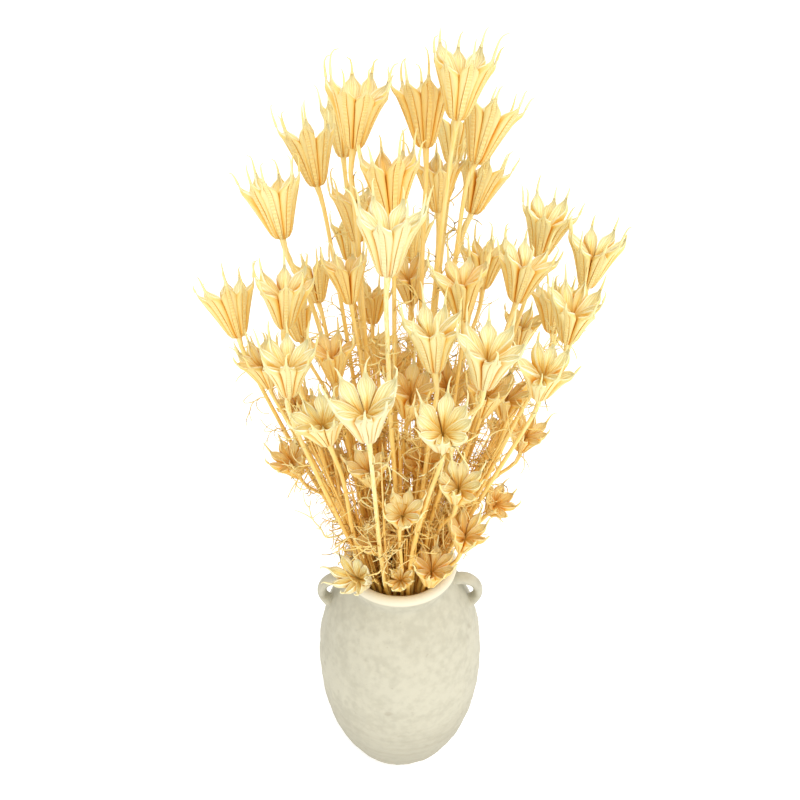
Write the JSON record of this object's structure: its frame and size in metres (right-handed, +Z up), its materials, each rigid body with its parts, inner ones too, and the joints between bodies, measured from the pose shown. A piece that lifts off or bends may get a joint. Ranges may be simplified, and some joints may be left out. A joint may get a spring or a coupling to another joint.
{
  "type": "vase of dried nigella pods",
  "caption": "Cream stoneware vase with two small ear handles, filled with a tall loose bunch of bleached dried nigella stalks whose ribbed, star-mouthed pods end in thin awns",
  "frame": {"origin": "middle of the vase's flat foot, where it stands on the table", "axes": "+Z is up, the two ear handles lie along X, and the side shown in the picture faces -Y"},
  "size_m": [0.2936, 0.2842, 0.6553],
  "materials": {
    "cream_stoneware": "matt cream glaze on hand-beaten stoneware, gently dimpled, with a few tiny dark specks",
    "dried_straw": "bleached, dried papery plant, pale straw to honey gold, matt with a faint sheen"
  },
  "bodies": {
    "root": {"vase": "cream_stoneware", "stalk_01": "dried_straw", "stalk_02": "dried_straw", "stalk_03": "dried_straw", "stalk_04": "dried_straw", "stalk_05": "dried_straw", "stalk_06": "dried_straw", "stalk_07": "dried_straw", "stalk_08": "dried_straw", "stalk_09": "dried_straw", "stalk_10": "dried_straw", "stalk_11": "dried_straw", "stalk_12": "dried_straw", "stalk_13": "dried_straw", "stalk_14": "dried_straw", "stalk_15": "dried_straw", "stalk_16": "dried_straw", "stalk_17": "dried_straw", "stalk_18": "dried_straw", "stalk_19": "dried_straw", "stalk_20": "dried_straw", "stalk_21": "dried_straw", "stalk_22": "dried_straw", "stalk_23": "dried_straw", "stalk_24": "dried_straw", "stalk_25": "dried_straw", "stalk_26": "dried_straw", "stalk_27": "dried_straw", "stalk_28": "dried_straw", "stalk_29": "dried_straw", "stalk_30": "dried_straw", "stalk_31": "dried_straw", "stalk_32": "dried_straw", "stalk_33": "dried_straw", "stalk_34": "dried_straw", "stalk_35": "dried_straw", "stalk_36": "dried_straw", "stalk_37": "dried_straw", "stalk_38": "dried_straw", "stalk_39": "dried_straw", "stalk_40": "dried_straw", "stalk_41": "dried_straw", "stalk_42": "dried_straw", "stalk_43": "dried_straw", "stalk_44": "dried_straw", "stalk_45": "dried_straw", "stalk_46": "dried_straw", "stalk_47": "dried_straw", "stalk_48": "dried_straw", "stalk_49": "dried_straw", "stalk_50": "dried_straw", "stalk_51": "dried_straw", "stalk_52": "dried_straw", "stalk_53": "dried_straw"}
  },
  "joints": []
}
